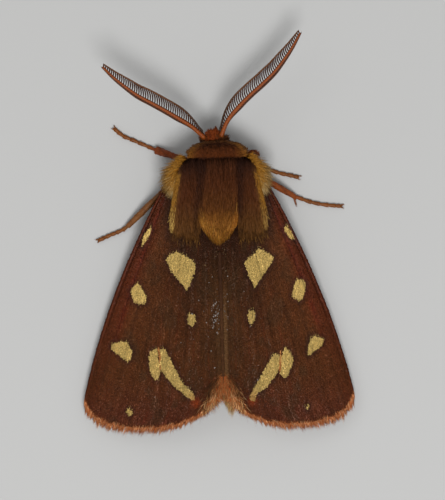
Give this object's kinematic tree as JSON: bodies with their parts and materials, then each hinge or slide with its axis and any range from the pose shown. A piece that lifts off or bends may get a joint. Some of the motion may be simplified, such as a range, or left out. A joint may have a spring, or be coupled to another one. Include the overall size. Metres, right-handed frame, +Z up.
{
  "type": "pattons tiger moth",
  "caption": "Life-size still model of a male tiger moth at rest, dark brown forewings with pale spots folded roof-like over the body.",
  "frame": {"origin": "on the floor, under the middle of the moth's outline seen from above", "axes": "+Y towards the head, +X to the moth's right, +Z up"},
  "size_m": [0.0224, 0.0326, 0.0066],
  "materials": {
    "coat": "dark brown hair and scales, golden brown at the tips",
    "shoulder_hair": "golden yellow hair",
    "forewing": "matt chocolate brown scales with straw yellow spots and a rust fringe",
    "hindwing": "matt orange scales with dark spots",
    "abdomen": "orange hair with dark marks",
    "antenna": "rust shaft with dark comb teeth",
    "leg": "rust brown scales",
    "eye": "glossy dark compound eye"
  },
  "bodies": {
    "root": {"head": "coat", "eye_left": "eye", "eye_right": "eye", "palp_left": "coat", "palp_right": "coat", "antenna_left": "antenna", "antenna_right": "antenna", "collar": "coat", "thorax": "coat", "tegula_left": "coat", "tegula_right": "coat", "shoulder_left": "shoulder_hair", "shoulder_right": "shoulder_hair", "abdomen": "abdomen", "forewing_left": "forewing", "forewing_right": "forewing", "hindwing_left": "hindwing", "hindwing_right": "hindwing", "leg_fore_left": "leg", "leg_fore_right": "leg", "leg_mid_left": "leg", "leg_mid_right": "leg", "leg_hind_left": "leg", "leg_hind_right": "leg"}
  },
  "joints": []
}
